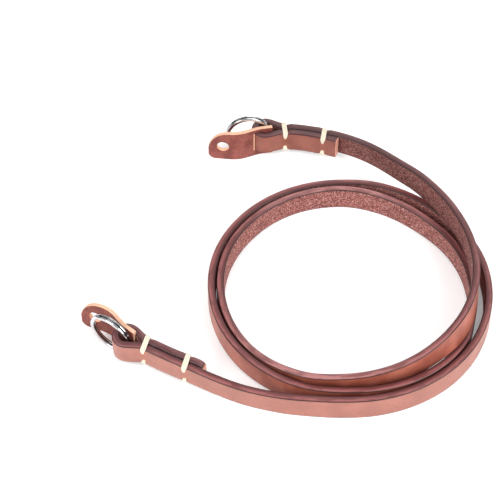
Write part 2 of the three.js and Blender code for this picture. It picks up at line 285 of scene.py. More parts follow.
def sections_of(node):
    """Middle, flesh direction, up, thickness and width of each section."""
    rows = []
    for corners in section_rings(node.data):
        middle = corners.mean(0)
        axes = np.linalg.svd(corners - middle)[2]
        up = axes[0] * (1 if axes[0][2] > 0 else -1)
        across = axes[1]
        if rows and across @ rows[-1][1] < 0:
            across = -across
        size = [np.ptp(corners @ across), np.ptp(corners @ up)]
        rows.append((middle, across, up, *size))
    middle, across, up, thickness, width = (np.array(column) for column in zip(*rows))
    halfway = len(rows) // 2
    if across[halfway] @ middle[halfway] > 0:
        across = -across
    return {"middle": middle, "across": across, "up": up, "thickness": thickness, "width": width}


sections = sections_of(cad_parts["strap"])
STRAP_THICKNESS = float(np.median(sections["thickness"]))
STRAP_WIDTH = float(np.median(sections["width"]))
steps = np.linalg.norm(np.diff(sections["middle"], axis=0), axis=1)
sections["along"] = np.concatenate([[0], np.cumsum(steps)])
STRAP_LENGTH = float(sections["along"][-1])
print(len(steps) + 1, "sections,", round(STRAP_LENGTH, 3), "m long,",
      round(STRAP_WIDTH / MM, 2), "by", round(STRAP_THICKNESS / MM, 2), "mm")

# %% [markdown]
# ## Leather
# The grain face is smooth and dyed red-brown, with fine pores and slow changes of tone. The flesh
# face is the rough inner side, full of short pale fibres. The long edges are burnished, with a dark
# line at each side. The cut ends stay raw and pale. One material makes all four, from where a point
# lies in the straightened strap, so the grain follows every bend.
#
# Use changes the leather along its length: the edges are dull at both ends, and the far end is darker. The
# edges are also lighter on two stretches, and the grain of the near half is paled with painted sheen, a
# whitish painted reflection.

# %% Shading helpers
def ramp(tree, value, low, high):
    """A soft step from 0 to 1 as a value passes from low to high."""
    node = add(tree, "ShaderNodeMapRange", {"Value": value, "From Min": low, "From Max": high},
               interpolation_type="SMOOTHSTEP")
    return node.outputs["Result"]


def blend(tree, share, first, second):
    """A mix of two colours."""
    node = add(tree, "ShaderNodeMix", data_type="RGBA")
    tree.links.new(share, node.inputs["Factor"])
    for socket, colour in ((node.inputs[6], first), (node.inputs[7], second)):
        if isinstance(colour, bpy.types.NodeSocket):
            tree.links.new(colour, socket)
        else:
            socket.default_value = (*colour, 1)
    return node.outputs[2]


def glaze(tree, base, colour, mask, share):
    """A base with a colour laid over it where a mask is 1, by a share of it."""
    return blend(tree, maths(tree, "MULTIPLY", mask, share), base, colour)


def noise(tree, coordinates, size, detail=2, stretch=(1, 1, 1)):
    """Soft noise with lumps of about a size in metres, longer along an axis where stretch is above 1."""
    mapping = add(tree, "ShaderNodeMapping", {"Vector": coordinates})
    mapping.inputs["Scale"].default_value = [1 / (size * s) for s in stretch]
    texture = add(tree, "ShaderNodeTexNoise", {"Vector": mapping.outputs[0], "Scale": 1, "Detail": detail})
    return texture.outputs["Fac"]


def new_material(name):
    """An empty material with its shader."""
    material = bpy.data.materials.new(name)
    material.use_nodes = True
    return material, material.node_tree, material.node_tree.nodes["Principled BSDF"]


def bumped(tree, height, strength, distance):
    """A bump from a height, as a normal."""
    node = add(tree, "ShaderNodeBump", {"Height": height, "Strength": strength, "Distance": distance})
    return node.outputs["Normal"]


print("shading helpers ready")

# %% Leather material
GRAIN = (0.46, 0.138, 0.090)
GRAIN_DEEP = (0.31, 0.076, 0.044)
# Painted sheen: a paler grain tone for the whitish reflection on the near half.
GRAIN_PAINTED_SHEEN = (0.41, 0.19, 0.152)
FLESH = (0.355, 0.126, 0.107)
FLESH_PALE = (0.78, 0.46, 0.41)
FLESH_DARK = (0.115, 0.029, 0.026)
EDGE_LINE = (0.028, 0.009, 0.009)
EDGE_BODY = (0.095, 0.022, 0.022)
# Painted light for the grain side of the long edge. Towards the flesh side the edge keeps its darker body
# tone as painted shade.
EDGE_PAINTED_LIT = (0.29, 0.096, 0.092)
# A lighter edge tone, laid on two stretches of the strap.
EDGE_LIGHTER = (0.46, 0.20, 0.19)
EDGE_DULL = (0.105, 0.055, 0.062)
RAW_END = (0.80, 0.42, 0.31)
RAW_END_DEEP = (0.52, 0.20, 0.13)
HOLE_TINT = (0.70, 0.22, 0.08)
# Painted shade for the faces that lie close against the next strand.
PAINTED_GAP_SHADE = (0.030, 0.006, 0.005)
FAR_END_DARK = (0.045, 0.018, 0.018)

# Stretches of the strap in metres from its far cut end, where each change of tone sets in.
SHEEN_FROM, SHEEN_FULL = 0.55, 0.95
LIGHTER_STRETCHES = ((0.20, 0.34), (0.35, 0.48))
DULL_FAR_FROM, DULL_FAR_FULL = 0.16, 0.08
DULL_NEAR_FROM, DULL_NEAR_FULL = 0.97, 1.03
FAR_DARK_FROM, FAR_DARK_FULL = 0.225, 0.15
# How strongly each of these tones covers what lies under it.
SHEEN_SHARE = 0.6
LIGHTER_SHARE = 0.75
DULL_SHARE = 0.55
FAR_DARK_SHARE = 0.36
STREAK_SHARE = 0.6
HOLE_SHARE = 0.8
PAINTED_GAP_SHADE_SHARE = 0.95
# Zones of the section. Depths count from the middle of the leather towards its flesh side, and the
# long edge's zone counts in from the edge.
FLESH_FADE = 0.9 * MM
EDGE_LIT_FROM, EDGE_LIT_FULL = 0.9 * MM, -0.75 * MM
LINE_FROM, LINE_FULL = 1.1 * MM, 1.36 * MM
EDGE_REACH = 0.72 * MM
EDGE_FADE = 0.4 * MM

leather, tree, shader = new_material("strap_leather")
flat = add(tree, "ShaderNodeAttribute", attribute_name="flat").outputs["Vector"]
place = add(tree, "ShaderNodeSeparateXYZ", {"Vector": flat})
along, depth = place.outputs["X"], place.outputs["Y"]
height = maths(tree, "ABSOLUTE", place.outputs["Z"])
is_raw = add(tree, "ShaderNodeAttribute", attribute_name="raw").outputs["Fac"]
is_hole = add(tree, "ShaderNodeAttribute", attribute_name="hole").outputs["Fac"]
gap_shade_mask = add(tree, "ShaderNodeAttribute", attribute_name="tucked").outputs["Fac"]

slow = noise(tree, flat, 9 * MM, 3)
pores = noise(tree, flat, 0.45 * MM, 4)
fibres = noise(tree, flat, 0.55 * MM, 5, (1.4, 1, 1))
specks = noise(tree, flat, 0.42 * MM, 1)
streaks = noise(tree, flat, 1.1 * MM, 3, (6, 1, 1))

grain_tone = blend(tree, ramp(tree, slow, 0.35, 0.68), GRAIN_DEEP, GRAIN)
# Painted sheen: the grain of the near half is paled towards a whitish painted reflection.
grain_tone = glaze(tree, grain_tone, GRAIN_PAINTED_SHEEN, ramp(tree, along, SHEEN_FROM, SHEEN_FULL), SHEEN_SHARE)
grain_tone = blend(tree, ramp(tree, pores, 0.56, 0.74), grain_tone, GRAIN_DEEP)
grain_tone = glaze(tree, grain_tone, HOLE_TINT, is_hole, HOLE_SHARE)
flesh_tone = blend(tree, ramp(tree, fibres, 0.36, 0.60), FLESH_DARK, FLESH)
flesh_tone = blend(tree, ramp(tree, specks, 0.60, 0.74), flesh_tone, FLESH_PALE)
flesh_tone = blend(tree, ramp(tree, specks, 0.38, 0.28), flesh_tone, FLESH_DARK)

is_flesh = ramp(tree, depth, 0.0, FLESH_FADE)
face_tone = blend(tree, is_flesh, grain_tone, flesh_tone)
# Painted shade: the faces that lie close against the next strand are darkened.
face_tone = glaze(tree, face_tone, PAINTED_GAP_SHADE, gap_shade_mask, PAINTED_GAP_SHADE_SHARE)

# Painted shading across the long edge: darker towards the flesh side, where shade falls, and lighter towards
# the grain side.
edge_tone = blend(tree, ramp(tree, depth, EDGE_LIT_FROM, EDGE_LIT_FULL), EDGE_BODY, EDGE_PAINTED_LIT)
# The edges are made lighter on two stretches.
for start, end in LIGHTER_STRETCHES:
    peak = (start + end) / 2
    patchy = maths(tree, "MULTIPLY", ramp(tree, along, start, peak), ramp(tree, along, end, peak))
    edge_tone = glaze(tree, edge_tone, EDGE_LIGHTER, patchy, LIGHTER_SHARE)
at_ends = maths(tree, "ADD", ramp(tree, along, DULL_FAR_FROM, DULL_FAR_FULL),
                ramp(tree, along, DULL_NEAR_FROM, DULL_NEAR_FULL))
edge_tone = glaze(tree, edge_tone, EDGE_DULL, at_ends, DULL_SHARE)
edge_tone = glaze(tree, edge_tone, EDGE_BODY, ramp(tree, streaks, 0.42, 0.62), STREAK_SHARE)
side_line = ramp(tree, maths(tree, "ABSOLUTE", depth), LINE_FROM, LINE_FULL)
edge_tone = blend(tree, side_line, edge_tone, EDGE_LINE)

edge_from = STRAP_WIDTH / 2 - EDGE_REACH
is_edge = ramp(tree, height, edge_from, edge_from + EDGE_FADE)
tone = blend(tree, is_edge, face_tone, edge_tone)
far_end = ramp(tree, along, FAR_DARK_FROM, FAR_DARK_FULL)
tone = glaze(tree, tone, FAR_END_DARK, far_end, FAR_DARK_SHARE)
raw_tone = blend(tree, ramp(tree, fibres, 0.55, 0.42), RAW_END, RAW_END_DEEP)
tone = blend(tree, is_raw, tone, raw_tone)

roughness = add(tree, "ShaderNodeMapRange", {"Value": is_flesh, "To Min": 0.4, "To Max": 0.85}).outputs[0]
edge_gloss = add(tree, "ShaderNodeMix", {"Factor": is_edge, "A": roughness, "B": 0.42}).outputs[0]
relief = add(tree, "ShaderNodeMix", {"Factor": is_flesh, "A": pores, "B": fibres}).outputs[0]
relief_depth = add(tree, "ShaderNodeMapRange", {"Value": is_flesh, "To Min": 0.12, "To Max": 0.9})
put(shader, {"Base Color": tone, "Roughness": edge_gloss,
             "Normal": bumped(tree, relief, relief_depth.outputs[0], 0.25 * MM)})
shader.inputs["Specular IOR Level"].default_value = 0.42
print("leather ready")

# %% [markdown]
# ## The strap
# A strap could be bent from a flat strip by hand, but its shape follows a rule: one section, carried
# along one line. Geometry Nodes lays a flat grid, takes a station of the line for each row and a
# point of the section for each column, and moves every grid point to its place. The rounded section
# is a little finer than the solid's, with softly burnished corners.

# %% Stations along the strap
STATION_STEP = 0.8 * MM
CORNER_ROUND = 0.62 * MM
CORNER_STEPS = 5
FLAT_STEPS = 6


def slopes(values, along):
    """How each column of values changes along the strap at every section."""
    return np.gradient(values, along, axis=0)


def smooth_values(values, along, wanted):
    """Values read between sections on a smooth curve through them."""
    tangents = slopes(values, along)
    right = np.clip(np.searchsorted(along, wanted), 1, len(along) - 1)
    left = right - 1
    span = along[right] - along[left]
    t = (wanted - along[left]) / span
    shape = (-1,) + (1,) * (values.ndim - 1)
    t, span = t.reshape(shape), span.reshape(shape)
    start, end = values[left], values[right]
    return ((2 * t**3 - 3 * t**2 + 1) * start + (t**3 - 2 * t**2 + t) * span * tangents[left]
            + (3 * t**2 - 2 * t**3) * end + (t**3 - t**2) * span * tangents[right])


# How a cut end closes: each row draws the section in by an inset while it still moves outwards.
END_ROWS = [
    {"out": 0.0, "inset": 1.0},
    {"out": 0.12, "inset": 0.995},
    {"out": 0.25, "inset": 0.97},
    {"out": 0.3, "inset": 0.9},
    {"out": 0.3, "inset": 0.5},
    {"out": 0.3, "inset": 0.0},
]


def strap_stations():
    """A mesh of single points, one for each row of the sweep, with the row's directions and size."""
    end_round = END_ROWS[-1]["out"] * MM
    count = int(STRAP_LENGTH / STATION_STEP)
    along = np.linspace(end_round, STRAP_LENGTH - end_round, count)
    data = {name: smooth_values(sections[name], sections["along"], along)
            for name in ("middle", "across", "up", "width")}
    ahead = slopes(data["middle"], along)
    rows = []
    for row in reversed(END_ROWS):
        rows.append((0, -row["out"] * MM, row["inset"], 1.0 if row["out"] else 0.0))
    rows += [(i, 0.0, 1.0, 0.0) for i in range(1, count - 1)]
    for row in END_ROWS:
        rows.append((count - 1, row["out"] * MM, row["inset"], 1.0 if row["out"] else 0.0))
    picked = [row[0] for row in rows]
    shift = np.array([row[1] for row in rows])
    mesh = bpy.data.meshes.new("stations")
    points = data["middle"][picked] + ahead[picked] * shift[:, None]
    mesh.from_pydata([tuple(p) for p in points], [], [])
    columns = {"across": data["across"][picked], "up": data["up"][picked], "width": data["width"][picked],
               "inset": np.array([row[2] for row in rows]), "raw": np.array([row[3] for row in rows]),
               "along": along[picked] + shift}
    for name, values in columns.items():
        kind, field = ("FLOAT_VECTOR", "vector") if values.ndim > 1 else ("FLOAT", "value")
        attribute = mesh.attributes.new(name, kind, "POINT")
        attribute.data.foreach_set(field, values.astype(np.float32).ravel())
    return mesh


def section_outline():
    """The strap's section as a ring of points: x to the flesh side and y up."""
    a, b = STRAP_THICKNESS / 2, STRAP_WIDTH / 2
    outline = []
    for x, y, quarter in [(a, b, 0), (-a, b, 1), (-a, -b, 2), (a, -b, 3)]:
        centre = Vector([math.copysign(abs(reach) - CORNER_ROUND, reach) for reach in (x, y)] + [0])
        for i in range(CORNER_STEPS + 1):
            angle = (quarter + i / CORNER_STEPS) * math.pi / 2
            outline.append(centre + CORNER_ROUND * Vector((math.cos(angle), math.sin(angle), 0)))
        if quarter in (1, 3):
            start, end = outline[-1], Vector((x, -centre.y, 0))
            outline += [start.lerp(end, i / FLAT_STEPS) for i in range(1, FLAT_STEPS)]
    mesh = bpy.data.meshes.new("section")
    mesh.from_pydata([tuple(p) for p in outline], [], [])
    return mesh


stations = strap_stations()
section = bpy.data.objects.new("section", section_outline())
scene.collection.objects.link(section)
print(len(stations.vertices), "stations,", len(section.data.vertices), "points round the section")

# %% Sweep tree
def sample(tree, kind, source, index, value):
    """The value that a geometry holds at an index, as its result socket."""
    return add(tree, "GeometryNodeSampleIndex", {"Geometry": source, "Index": index, "Value": value},
               data_type=kind).outputs["Value"]


def point_count(tree, source):
    """How many points a geometry has."""
    return add(tree, "GeometryNodeAttributeDomainSize", {"Geometry": source}).outputs["Point Count"]


tree, given, result = new_tree("strap_sweep", {
    "Section": ("NodeSocketObject", None),
    "Weld": ("NodeSocketFloat", 0.005 * MM),
    "Material": ("NodeSocketMaterial", None),
})
outline = add(tree, "GeometryNodeObjectInfo", {"Object": given["Section"]}).outputs["Geometry"]
row_count = point_count(tree, given["Geometry"])
round_count = point_count(tree, outline)
columns = maths(tree, "ADD", round_count, 1)
grid = add(tree, "GeometryNodeMeshGrid", {"Size X": 1.0, "Size Y": 1.0,
                                          "Vertices X": row_count, "Vertices Y": columns})
index = add(tree, "GeometryNodeInputIndex").outputs[0]
row = maths(tree, "FLOOR", maths(tree, "DIVIDE", maths(tree, "ADD", index, 0.5), columns))
in_row = maths(tree, "SUBTRACT", index, maths(tree, "MULTIPLY", row, columns))
column = maths(tree, "MODULO", in_row, round_count)


def station_value(name, kind="FLOAT_VECTOR"):
    """A station's attribute, read for the row of each grid point."""
    attribute = add(tree, "GeometryNodeInputNamedAttribute", {"Name": name}, data_type=kind)
    return sample(tree, kind, given["Geometry"], row, attribute.outputs["Attribute"])


def vector_step(operation, first, second):
    """One vector step, as its result socket."""
    node = add(tree, "ShaderNodeVectorMath", operation=operation)
    tree.links.new(first, node.inputs[0])
    key = "Scale" if operation == "SCALE" else 1
    tree.links.new(second, node.inputs[key])
    return node.outputs["Vector"]


position = add(tree, "GeometryNodeInputPosition").outputs[0]
middle = sample(tree, "FLOAT_VECTOR", given["Geometry"], row, position)
corner = sample(tree, "FLOAT_VECTOR", outline, column, position)
corner = vector_step("SCALE", corner, station_value("inset", "FLOAT"))
split = add(tree, "ShaderNodeSeparateXYZ", {"Vector": corner})
narrowing = maths(tree, "DIVIDE", station_value("width", "FLOAT"), STRAP_WIDTH)
rise = maths(tree, "MULTIPLY", split.outputs["Y"], narrowing)
sideways = vector_step("SCALE", station_value("across"), split.outputs["X"])
upwards = vector_step("SCALE", station_value("up"), rise)
target = vector_step("ADD", middle, vector_step("ADD", sideways, upwards))
placed = add(tree, "GeometryNodeSetPosition", {"Geometry": grid.outputs["Mesh"], "Position": target})
straight = add(tree, "ShaderNodeCombineXYZ", {"X": station_value("along", "FLOAT"), "Y": split.outputs["X"],
                                              "Z": split.outputs["Y"]}).outputs[0]
kept = add(tree, "GeometryNodeStoreNamedAttribute", {
    "Geometry": placed.outputs[0], "Name": "flat", "Value": straight}, data_type="FLOAT_VECTOR")
marked = add(tree, "GeometryNodeStoreNamedAttribute", {
    "Geometry": kept.outputs[0], "Name": "raw", "Value": station_value("raw", "FLOAT")}, data_type="FLOAT")
closed = add(tree, "GeometryNodeMergeByDistance", {"Geometry": marked.outputs[0], "Distance": given["Weld"]})
finish_tree(tree, result, closed.outputs[0], given["Material"])

strap = grown("strap_leather", stations, tree, {"Section": section, "Material": leather})
bpy.data.objects.remove(section)


def face_outwards(mesh):
    """Turn the faces of a closed mesh so that they point out, and measure its volume."""
    corners = np.array([v.co for v in mesh.vertices])
    volume = 0.0
    for face in mesh.polygons:
        a, b, c = corners[list(face.vertices)[:3]]
        volume += a @ np.cross(b, c)
        if len(face.vertices) == 4:
            volume += a @ np.cross(c, corners[face.vertices[3]])
    if volume < 0:
        mesh.flip_normals()
    return abs(volume) / 6


print("strap volume", round(face_outwards(strap.data) * 1e6, 2), "cubic cm")

# %% [markdown]
# ## The rounded corner
# The tail that is folded back at the near end isn't cut square: its top corner is rounded. The
# points of the corner slide down to an arc, the upper ones furthest, and so the rounding of the
# edge stays as it is.

# %% Rounded corner
CORNER_RADIUS = 2.6 * MM


def round_top_corner(mesh, radius):
    """Slide the points of the last top corner of the strap down to an arc, and count them."""
    up = Vector(sections["up"][-1])
    top = STRAP_WIDTH / 2
    spots = [value.vector for value in mesh.attributes["flat"].data]
    moved = 0
    for vertex, spot in zip(mesh.vertices, spots):
        from_end = max(0.0, STRAP_LENGTH - spot.x)
        if from_end < radius and spot.z > 0:
            limit = top - radius + math.sqrt(radius**2 - (radius - from_end) ** 2)
            share = (spot.z - (top - radius)) / radius
            if share > 0:
                vertex.co -= up * (top - limit) * share
                moved += 1
    return moved


print(round_top_corner(strap.data, CORNER_RADIUS), "points rounded")

# %% [markdown]
# ## Binding threads
# Each fold is held by two bindings of waxed thread. Every binding has an upper and a lower loop of
# three strands, which lie side by side on the edge. The upper strands meet in one hole of each face,
# and the lower ones stay a little apart. The solid is pinched in where they pull, and that is where
# this cell finds them. A tree copies one laid path into strands that spread at the edge.

# %% Find the bindings
THREAD_RADIUS = 0.37 * MM
HOLE_INSET = {"upper": 3.0 * MM, "lower": 2.1 * MM}
LEAST_SPREAD = {"upper": 0.1, "lower": 0.55}
STRANDS = 3
# Strands lie this many thread radii apart.
STRAND_PITCH = 1.9
PINCH = 1.0 * MM
BACK_SHIFT = 0.9 * MM

width = sections["width"]
narrow = [i for i in range(1, len(width) - 1)
          if width[i] < STRAP_WIDTH - PINCH and width[i] <= width[i - 1] and width[i] < width[i + 1]]
# Each binding's two sections, in the long layer and in the folded one: far outer, far inner, near
# outer and near inner.
pairs = [(narrow[3], narrow[0]), (narrow[2], narrow[1]), (narrow[-4], narrow[-1]), (narrow[-3], narrow[-2])]
print("pinched sections:", narrow)


def grain_side(i):
    """The outward direction of a section's grain face."""
    return Vector(-sections["across"][i])


def thread_path(main, folded, level, to_eye):
    """Points of one loop, from a hole in one grain face over the edges to a hole in the other.

    The loop slants a little: on the layer that lies further back it is shifted towards the eye.
    """
    sign = 1 if level == "upper" else -1
    face, edge = STRAP_THICKNESS / 2, width[main] / 2
    hole_rise = STRAP_WIDTH / 2 - HOLE_INSET[level]
    # Each row: how far out of the leather's middle, how high, and how far the strands have spread.
    rows = [(face - 0.5 * MM, hole_rise, 0.0), (face + 0.12 * MM, hole_rise + 0.15 * MM, 0.05),
            (face + THREAD_RADIUS, (hole_rise + edge) / 2, 0.45), (face + 0.1 * MM, edge - 0.05 * MM, 0.9),
            (face - 0.6 * MM, edge + THREAD_RADIUS, 1.0)]
    back = max((main, folded), key=lambda i: sections["middle"][i][1])
    least = LEAST_SPREAD[level]
    path = []
    for i, order in ((main, rows), (folded, rows[::-1])):
        up, out = Vector(sections["up"][i]) * sign, grain_side(i)
        shift = to_eye * BACK_SHIFT if i == back else Vector()
        for outwards, rise, spread in order:
            place = Vector(sections["middle"][i]) + out * outwards + up * rise + shift
            path.append((place, least + (1 - least) * spread))
    return path


def thread_seed(level):
    """A mesh of open lines, one for each binding, with each point's spread and sideways direction."""
    points, edges, spreads, sides = [], [], [], []
    for number, (main, folded) in enumerate(pairs):
        beside = Vector(sections["up"][main]).cross(grain_side(main)).normalized()
        outer_pair = number // 2 * 2
        outer, inner = pairs[outer_pair][0], pairs[outer_pair + 1][0]
        to_eye = Vector(sections["middle"][inner] - sections["middle"][outer]).normalized()
        start = len(points)
        for point, spread in thread_path(main, folded, level, to_eye):
            points.append(point)
            spreads.append(spread)
            sides.append(beside)
        edges += [(i, i + 1) for i in range(start, len(points) - 1)]
    mesh = bpy.data.meshes.new("threads")
    mesh.from_pydata(points, edges, [])
    mesh.attributes.new("spread", "FLOAT", "POINT").data.foreach_set("value", spreads)
    flat_sides = [component for side in sides for component in side]
    mesh.attributes.new("beside", "FLOAT_VECTOR", "POINT").data.foreach_set("vector", flat_sides)
    return mesh


# %% Thread material
THREAD = (0.80, 0.745, 0.61)
THREAD_SHADE = (0.66, 0.54, 0.38)
THREAD_STAINED = (0.82, 0.48, 0.22)
thread, tree, shader = new_material("waxed_thread")
own = add(tree, "ShaderNodeTexCoord").outputs["Object"]
twist = noise(tree, own, 0.3 * MM, 2)
spread = add(tree, "ShaderNodeAttribute", attribute_name="spread").outputs["Fac"]
tone = blend(tree, ramp(tree, twist, 0.45, 0.25), THREAD, THREAD_SHADE)
tone = blend(tree, ramp(tree, spread, 0.5, 0.12), tone, THREAD_STAINED)
put(shader, {"Base Color": tone, "Normal": bumped(tree, twist, 0.5, 0.08 * MM)})
shader.inputs["Roughness"].default_value = 0.55
print("thread material ready")

# %% Thread tree
tree, given, result = new_tree("threads", {
    "Strands": ("NodeSocketInt", STRANDS),
    "Radius": ("NodeSocketFloat", THREAD_RADIUS),
    "Material": ("NodeSocketMaterial", None),
})
curve = add(tree, "GeometryNodeMeshToCurve", {"Mesh": given["Geometry"]}).outputs[0]
copies = add(tree, "GeometryNodeDuplicateElements", {"Geometry": curve, "Amount": given["Strands"]},
             domain="SPLINE")
order = maths(tree, "SUBTRACT", copies.outputs["Duplicate Index"],
              maths(tree, "DIVIDE", maths(tree, "SUBTRACT", given["Strands"], 1), 2))
pitch = maths(tree, "MULTIPLY", given["Radius"], STRAND_PITCH)
spread = add(tree, "GeometryNodeInputNamedAttribute", {"Name": "spread"}, data_type="FLOAT")
offset = maths(tree, "MULTIPLY", maths(tree, "MULTIPLY", order, pitch), spread.outputs["Attribute"])
beside = add(tree, "GeometryNodeInputNamedAttribute", {"Name": "beside"}, data_type="FLOAT_VECTOR")
shift = add(tree, "ShaderNodeVectorMath", operation="SCALE")
tree.links.new(beside.outputs["Attribute"], shift.inputs[0])
tree.links.new(offset, shift.inputs["Scale"])
moved = add(tree, "GeometryNodeSetPosition", {"Geometry": copies.outputs["Geometry"],
                                              "Offset": shift.outputs[0]})
soft = add(tree, "GeometryNodeCurveSplineType", {"Curve": moved.outputs[0]}, spline_type="CATMULL_ROM")
fine = add(tree, "GeometryNodeResampleCurve", {"Curve": soft.outputs[0], "Count": 60})
profile = add(tree, "GeometryNodeCurvePrimitiveCircle", {"Resolution": 10, "Radius": given["Radius"]})
tube = add(tree, "GeometryNodeCurveToMesh", {"Curve": fine.outputs[0], "Profile Curve": profile.outputs[0],
                                             "Fill Caps": True})
finish_tree(tree, result, tube.outputs[0], given["Material"])

thread_pieces = [grown(f"binding_{level}", thread_seed(level), tree, {"Strands": STRANDS, "Material": thread})
                 for level in ("upper", "lower")]

# %% [markdown]
# ## Thread holes in the leather
# Where a thread goes in, the leather is drawn into a small dimple and the dye is lighter. Each point
# of the strap gets a share by its distance to the nearest hole, which the material reads as a tint.

# %% Thread holes
DIMPLE_REACH = 0.9 * MM
DIMPLE_DEPTH = 0.3 * MM
holes = []
for main, folded in pairs:
    for level, sign in (("upper", 1), ("lower", -1)):
        rise = sign * (STRAP_WIDTH / 2 - HOLE_INSET[level])
        for i in (main, folded):
            out = grain_side(i)
            on_face = Vector(sections["middle"][i]) + out * STRAP_THICKNESS / 2
            holes.append((np.array(on_face + Vector(sections["up"][i]) * rise), np.array(out)))
points = np.array([v.co for v in strap.data.vertices])
share = np.zeros(len(points))
for place, out in holes:
    near = np.exp(-(np.linalg.norm(points - place, axis=1) / DIMPLE_REACH) ** 2)
    points -= out * (near * DIMPLE_DEPTH)[:, None]
    share = np.maximum(share, near)
strap.data.vertices.foreach_set("co", points.ravel())
strap.data.attributes.new("hole", "FLOAT", "POINT").data.foreach_set("value", share)
print(len(holes), "thread holes")

# %% [markdown]
# ## Where strands lie against each other
# Little light reaches the faces between two turns of the coil, so painted shade darkens them. A ray from each
# point along its own normal finds how near the next strand is, and the material darkens the faces that lie
# close to it with painted shade.

# %% Tucked faces, with painted shade
TUCK_NEAR = 1.0 * MM
TUCK_FAR = 3.2 * MM
TUCK_SOFTENING = 10


def gap_shade_share(mesh):
    """For each point of a mesh, 1 where another face is very near in front of it, and 0 in the open.

    A few rounds of averaging with the points next to it make soft borders.
    """
    tree = BVHTree.FromPolygons([v.co for v in mesh.vertices], [f.vertices for f in mesh.polygons])
    shares = []
    for vertex in mesh.vertices:
        start = vertex.co + vertex.normal * 0.1 * MM
        distance = tree.ray_cast(start, vertex.normal, TUCK_FAR)[3]
        shares.append(0.0 if distance is None else min(1.0, (TUCK_FAR - distance) / (TUCK_FAR - TUCK_NEAR)))
    ends = np.array([edge.vertices[:] for edge in mesh.edges])
    count = np.bincount(ends.ravel(), minlength=len(shares))
    for _ in range(TUCK_SOFTENING):
        beside = np.bincount(ends[:, 0], weights=np.take(shares, ends[:, 1]), minlength=len(shares))
        beside += np.bincount(ends[:, 1], weights=np.take(shares, ends[:, 0]), minlength=len(shares))
        shares = (np.array(shares) + beside / count) / 2
    return shares


# Each point's share of painted shade, by how near the next strand lies in front of it.
tucked = gap_shade_share(strap.data)
strap.data.attributes.new("tucked", "FLOAT", "POINT").data.foreach_set("value", tucked)
print(sum(share > 0 for share in tucked), "of", len(tucked), "points are tucked in")

# %% [markdown]
# ## Split rings
# A split ring is two flat turns of spring steel wire, with a short crank where the wire steps from
# one turn to the next. A spiral with that step is a formula, so a tree bends a straight line into
# it and sweeps a small rounded bar along. The solid's own ring tells where it lies. Little light
# gets into the slot between the turns, so an attribute marks the steel there and keeps it dark.

# %% Polished steel
STEEL = (0.62, 0.62, 0.63)
STEEL_IN_SLOT = (0.03, 0.028, 0.03)
steel, tree, shader = new_material("ring_steel")
own = add(tree, "ShaderNodeTexCoord").outputs["Object"]
scuffs = noise(tree, own, 1.2 * MM, 4)
patchy = add(tree, "ShaderNodeMapRange", {"Value": scuffs, "To Min": 0.06, "To Max": 0.16}).outputs[0]
groove = add(tree, "ShaderNodeAttribute", attribute_name="groove").outputs["Fac"]
put(shader, {"Base Color": blend(tree, groove, STEEL, STEEL_IN_SLOT), "Roughness": patchy,
             "Normal": bumped(tree, scuffs, 0.03, 0.1 * MM)})
shader.inputs["Metallic"].default_value = 1.0
print("steel ready")

# %% Ring tree
WIRE_WIDTH = 1.5 * MM
WIRE_HEIGHT = 1.0 * MM
TURN_GAP = 0.12 * MM
WIRE_ROUND = 0.3 * MM
CRANK = math.radians(50)
# The wire stops short of two full turns by this many cranks.
CRANKS_SHORT = 1.1

tree, given, result = new_tree("split_ring", {
    "Middle radius": ("NodeSocketFloat", 8.75 * MM),
    "Crank": ("NodeSocketFloat", CRANK),
    "Material": ("NodeSocketMaterial", None),
})
line = add(tree, "GeometryNodeCurvePrimitiveLine")
fine = add(tree, "GeometryNodeResampleCurve", {"Curve": line.outputs[0], "Count": 300})
share = add(tree, "GeometryNodeSplineParameter").outputs["Factor"]
sweep = maths(tree, "SUBTRACT", 4 * math.pi, maths(tree, "MULTIPLY", given["Crank"], CRANKS_SHORT))
angle = maths(tree, "MULTIPLY", share, sweep)
climb = ramp(tree, angle, maths(tree, "SUBTRACT", 2 * math.pi, given["Crank"]), 2 * math.pi)
level = maths(tree, "MULTIPLY", maths(tree, "SUBTRACT", climb, 0.5), WIRE_HEIGHT + TURN_GAP)
spot = add(tree, "ShaderNodeCombineXYZ", {
    "X": maths(tree, "MULTIPLY", maths(tree, "COSINE", angle), given["Middle radius"]),
    "Y": maths(tree, "MULTIPLY", maths(tree, "SINE", angle), given["Middle radius"]), "Z": level})
bent = add(tree, "GeometryNodeSetPosition", {"Geometry": fine.outputs[0], "Position": spot.outputs[0]})
upright = add(tree, "GeometryNodeSetCurveNormal", {"Curve": bent.outputs[0]}, mode="Z_UP")
bar = add(tree, "GeometryNodeCurvePrimitiveQuadrilateral", {"Width": WIRE_WIDTH, "Height": WIRE_HEIGHT})
rounded = add(tree, "GeometryNodeFilletCurve", {"Curve": bar.outputs[0], "Radius": WIRE_ROUND, "Count": 3},
              mode="POLY")
wire = add(tree, "GeometryNodeCurveToMesh", {"Curve": upright.outputs[0], "Profile Curve": rounded.outputs[0],
                                             "Fill Caps": True})
finish_tree(tree, result, wire.outputs[0], given["Material"])
print("ring tree ready")

# %% Rings
SLOT_REACH = 0.42 * MM
SLOT_FADE = 0.12 * MM
SLOT_FACING = 1.6


def mark_groove(mesh):
    """Mark the points that look into the slot between the two turns, where the steel stays dark."""
    shares = []
    for vertex in mesh.vertices:
        depth = min(1.0, max(0.0, (SLOT_REACH - abs(vertex.co.z)) / SLOT_FADE))
        inwards = -math.copysign(vertex.normal.z, vertex.co.z * vertex.normal.z)
        shares.append(depth * min(1.0, max(0.0, SLOT_FACING * inwards)))
    mesh.attributes.new("groove", "FLOAT", "POINT").data.foreach_set("value", shares)


